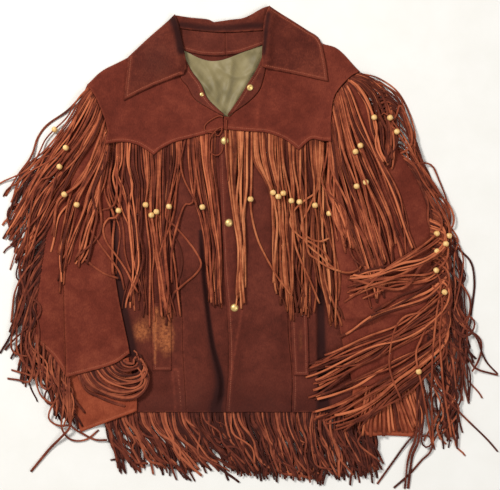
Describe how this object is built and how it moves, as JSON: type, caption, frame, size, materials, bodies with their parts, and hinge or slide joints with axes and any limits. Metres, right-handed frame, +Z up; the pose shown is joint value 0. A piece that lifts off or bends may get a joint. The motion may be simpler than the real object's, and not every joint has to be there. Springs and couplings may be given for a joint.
{
  "type": "fringed suede jacket laid flat",
  "caption": "Western-style suede leather jacket laid out flat on its back, with long fringe on yoke, armholes, sleeves, cuffs and hem, beads on the fringe and snaps down the front.",
  "frame": {"origin": "middle of the box that holds the jacket and its fringe, on the surface that it lies on", "axes": "+Z up out of the jacket's front, +Y towards the collar, +X towards the viewer's right sleeve"},
  "size_m": [0.8747, 0.8486, 0.0302],
  "materials": {
    "suede": "napped suede",
    "collar_suede": "napped suede, worn at the edges",
    "sleeve_suede": "napped suede",
    "fringe_suede": "cut suede strands",
    "lining_satin": "satin",
    "brass": "polished, a little worn",
    "lace_leather": "round suede lace",
    "bead": "waxed pale wood or bone"
  },
  "bodies": {
    "root": {"back": "suede", "front_left_side": "suede", "front_left_centre": "suede", "front_right_centre": "suede", "front_right_side": "suede", "yoke_left": "suede", "yoke_right": "suede", "pocket_welt_left": "suede", "pocket_welt_right": "suede", "neck_facing_left": "suede", "neck_facing_right": "suede", "neck_band_left": "suede", "neck_band_right": "suede", "collar_under": "collar_suede", "collar_stand": "collar_suede", "collar_left": "collar_suede", "collar_right": "collar_suede", "sleeve_left_under": "sleeve_suede", "sleeve_right_under": "sleeve_suede", "sleeve_left_back": "sleeve_suede", "sleeve_left_front": "sleeve_suede", "sleeve_right_top": "sleeve_suede", "cuff_left_under": "sleeve_suede", "cuff_right_under": "sleeve_suede", "cuff_left": "sleeve_suede", "cuff_right": "sleeve_suede", "hem_fringe_back": "fringe_suede", "hem_fringe_front": "fringe_suede", "yoke_fringe_left": "fringe_suede", "yoke_fringe_right": "fringe_suede", "armhole_fringe_left": "fringe_suede", "armhole_fringe_right": "fringe_suede", "sleeve_fringe_left": "fringe_suede", "sleeve_fringe_right": "fringe_suede", "shoulder_fringe_right": "fringe_suede", "cuff_fringe_left_outer": "fringe_suede", "cuff_fringe_left": "fringe_suede", "cuff_fringe_right": "fringe_suede", "cuff_fringe_right_outer": "fringe_suede", "lining": "lining_satin", "snap_neck": "brass", "snap_chest": "brass", "snap_waist": "brass", "snap_socket_open": "brass", "snap_stud_open": "brass", "neck_lace_loops": "lace_leather", "neck_lace_tail": "lace_leather"}
  },
  "joints": []
}
